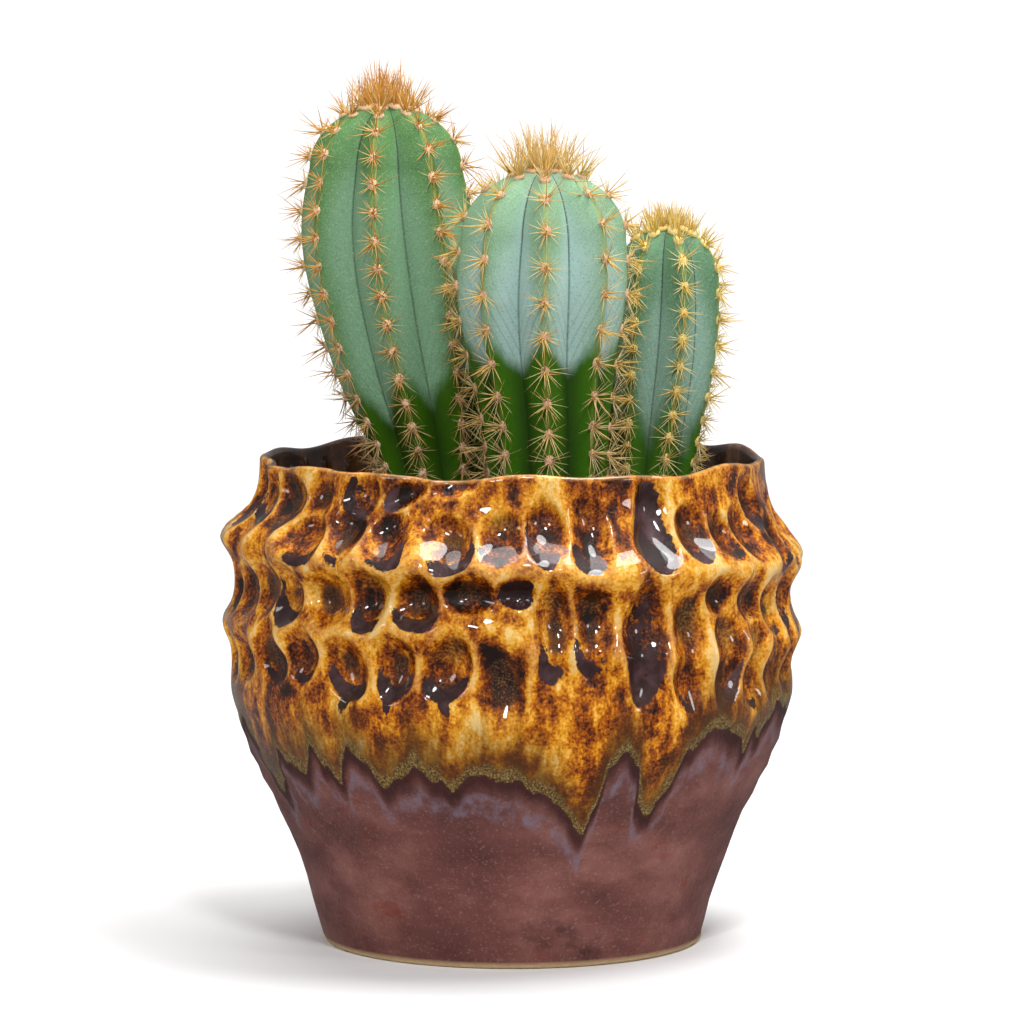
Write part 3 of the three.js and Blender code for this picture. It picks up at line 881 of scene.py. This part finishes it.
def needles(base, direction, length, thickness, bend):
    """Many spines at once, each a three-sided needle: its middle runs along the direction and
    sags by bend * s^2 at share s of its length, it is as thick as 1 - s^1.6, and it ends in a
    point. Also gives each vertex's share of the length."""
    count = len(base)
    direction = direction / lengths(direction)
    helper = np.where(np.abs(direction[:, 2:3]) < 0.9, [[0.0, 0.0, 1.0]], [[1.0, 0.0, 0.0]])
    across = np.cross(direction, helper)
    across = across / lengths(across)
    over = np.cross(direction, across)
    corner = np.arange(SPINE_SIDES) * 2 * math.pi / SPINE_SIDES
    around = np.cos(corner)[:, None] * across[:, None, :] + np.sin(corner)[:, None] * over[:, None, :]
    middle = base[:, None, :] + direction[:, None, :] * (length[:, None] * SPINE_RINGS)[..., None]
    middle = middle + bend[:, None, :] * (SPINE_RINGS**2)[:, None]
    wide = thickness[:, None] / 2 * (1 - SPINE_RINGS**1.6)
    rings = middle[:, :, None, :] + wide[:, :, None, None] * around[:, None, :, :]
    tip = base + direction * length[:, None] + bend
    points = np.concatenate([rings.reshape(count, -1, 3), tip[:, None, :]], axis=1)
    ring = np.arange(len(SPINE_RINGS) - 1)[:, None] * SPINE_SIDES
    k = np.arange(SPINE_SIDES)
    after = (k + 1) % SPINE_SIDES
    low, low_after = ring + k, ring + after
    last = (len(SPINE_RINGS) - 1) * SPINE_SIDES
    faces = np.concatenate([
        np.stack([low, low_after, low_after + SPINE_SIDES], axis=-1).reshape(-1, 3),
        np.stack([low, low_after + SPINE_SIDES, low + SPINE_SIDES], axis=-1).reshape(-1, 3),
        np.stack([last + k, last + after, 0 * k + last + SPINE_SIDES], axis=-1),
        [[2, 1, 0]],
    ])
    every = faces[None] + (np.arange(count) * points.shape[1])[:, None, None]
    along = np.append(np.repeat(SPINE_RINGS, SPINE_SIDES), 1.0)
    return points.reshape(-1, 3), every.reshape(-1, 3), np.tile(along, count)


def spines_of(shape, pads):
    """The fan and the stout spines of every pad, as arrays for needles(), with their tone and
    height. A fan spine lies at an even angle round its pad and leans out of it; a stout one
    points out of the pad. Both turn upwards and grow longer on the young pads at the tip."""
    place, normal, up, young, rise = pads
    count = len(place)
    side = np.cross(up, normal)
    skyward = young[:, None, None] * [0, 0, 1.0]

    shape_of_fan = (count, FAN_SPINES)
    turn = 2 * math.pi * (np.arange(FAN_SPINES) + chance.uniform(-0.35, 0.35, shape_of_fan)) / FAN_SPINES
    flat = np.cos(turn)[..., None] * up[:, None, :] + np.sin(turn)[..., None] * side[:, None, :]
    stand = chance.uniform(0.2, 0.85, turn.shape) + 0.5 * young[:, None]
    fan_way = flat * (1 - 0.35 * young[:, None, None]) + stand[..., None] * normal[:, None, :]
    fan_way = fan_way + 0.8 * skyward
    fan_way = fan_way + chance.normal(0, 0.1, fan_way.shape)
    hanging = np.clip(-np.cos(turn), 0, 1) * (1 - rise[:, None])
    old = shape["fan_length"] * chance.uniform(0.75, 1.2, turn.shape) * (1 + 0.5 * hanging)
    new = shape["crown_length"] * chance.uniform(0.4, 1.0, turn.shape)
    fan_length = old + (new - old) * young[:, None]

    shape_of_stout = (count, STOUT_SPINES)
    stout_way = normal[:, None, :] + chance.normal(0, 0.55, (*shape_of_stout, 3)) + 0.9 * skyward
    stout_way = stout_way - 0.2 * up[:, None, :] * (1 - young[:, None, None])
    old = shape["stout_length"] * chance.uniform(0.55, 1.3, shape_of_stout)
    new = shape["crown_length"] * chance.uniform(0.6, 1.25, shape_of_stout)
    stout_length = old + (new - old) * young[:, None]

    def both(fan, stout):
        return np.concatenate([fan, stout], axis=1).reshape(-1, *fan.shape[2:])

    fan_base = place[:, None, :] + 0.9 * flat + 0.3 * normal[:, None, :]
    stout_base = place[:, None, :] + chance.normal(0, 0.55, (*shape_of_stout, 3))
    return (
        both(fan_base, stout_base), both(fan_way, stout_way), both(fan_length, stout_length),
        both(chance.uniform(0.34, 0.46, turn.shape), chance.uniform(0.5, 0.7, shape_of_stout)),
        both(chance.normal(0, 0.4, fan_way.shape), chance.normal(0, 0.3, stout_way.shape)),
        both(chance.uniform(0.0, 0.55, turn.shape), chance.uniform(0.6, 1.0, shape_of_stout)),
        both(rise[:, None] + 0 * turn, rise[:, None] + np.zeros(shape_of_stout)),
    )


def spine_paint(shape):
    """Straw-coloured fans and browner stout spines, brown at the tip and bleached low down."""
    made, start, shader = new_material(f"{shape['name']}_spine_colour")
    along = layer_value(start, "along")
    tone = layer_value(start, "tone")
    rise = layer_value(start, "rise")
    where = start.node("ShaderNodeTexCoord", output="Object")
    vary = mottle(start, where, 220, 2)
    deeper = (tone + (vary - 0.5) * 0.5).between(0.1, 0.85)
    golden = mix(start, shade(shape["pale_spine"]), shade(shape["spine"]), deeper)
    bleached = (1 - rise.between(0.15, 0.6)) * (1 - tone * 0.4) * 0.75
    golden = mix(start, golden, shade("#d6bf98"), bleached)
    tipped = (along - 0.3).between(0, 0.7) * (0.25 + tone * 0.65)
    golden = mix(start, golden, shade(shape["spine_tip"]), tipped)
    start.fill(shader, {"Base Color": golden, "Roughness": 0.42 + vary * 0.15})
    return made


def pad_skin(pads):
    """A woolly cushion on each pad: rings of a flattened half ball between a root point in the
    skin and a top point, each point shifted a little so that it looks like felt."""
    place, normal, up, young, _ = pads
    side = np.cross(up, normal)
    size = chance.uniform(1.7, 2.2, len(place)) + 0.7 * young
    corner = np.arange(PAD_SIDES) * 2 * math.pi / PAD_SIDES
    wide, tall = np.cos(PAD_RINGS)[:, None], np.sin(PAD_RINGS)[:, None] + 0 * corner
    local = np.stack([wide * np.cos(corner) * 1.2, wide * np.sin(corner), tall * 0.5], axis=-1)
    local = np.concatenate([local.reshape(-1, 3), [[0, 0, 0.55], [0, 0, -0.5]]])
    axes = np.stack([up, side, normal], axis=1)
    points = np.einsum("pk,nkj->npj", local, axes) * size[:, None, None]
    points = points + place[:, None, :] + chance.normal(0, 0.14, points.shape)
    ring = np.arange(len(PAD_RINGS) - 1)[:, None] * PAD_SIDES
    k = np.arange(PAD_SIDES)
    after = (k + 1) % PAD_SIDES
    last, top, root = (len(PAD_RINGS) - 1) * PAD_SIDES, len(local) - 2, len(local) - 1
    walls = np.stack([ring + k, ring + PAD_SIDES + k, ring + PAD_SIDES + after, ring + after], axis=-1)
    caps = np.stack([np.stack([last + k, 0 * k + top, last + after], axis=-1),
                     np.stack([after, 0 * k + root, k], axis=-1)])
    offset = np.arange(len(place)) * len(local)
    walls = (walls.reshape(1, -1, 4) + offset[:, None, None]).reshape(-1, 4).tolist()
    caps = (caps.reshape(1, -1, 3) + offset[:, None, None]).reshape(-1, 3).tolist()
    return points.reshape(-1, 3), walls + caps


def felt_paint(shape):
    """Cream wool, browner in its hollows."""
    made, start, shader = new_material(f"{shape['name']}_felt")
    where = start.node("ShaderNodeTexCoord", output="Object")
    fluff = mottle(start, where, 1100, 4, None, 0.7)
    tint = mix(start, shade("#a4662e"), shade(shape["felt"]), fluff.between(0.25, 0.5))
    start.fill(shader, {"Base Color": tint, "Roughness": 0.95, "Normal": bump(start, fluff, 0.0004, 1.0)})
    shader.inputs["Sheen Weight"].default_value = 0.3
    return made


for shape in COLUMNS:
    name = shape["name"]
    pads = pad_places(columns[name])
    *needle_sizes, tone, rise = spines_of(shape, pads)
    points, faces, along = needles(*needle_sizes)
    corners = len(along) // len(tone)
    layers = {"along": along, "tone": np.repeat(tone, corners), "rise": np.repeat(rise, corners)}
    spines = add_piece(f"{name}_spines", points, faces.tolist(), spine_paint(shape), layers)
    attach(spines, "root")
    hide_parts(f"{name}_column_crown")
    felt = add_piece(f"{name}_felt_pads", *pad_skin(pads), felt_paint(shape))
    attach(felt, "root")
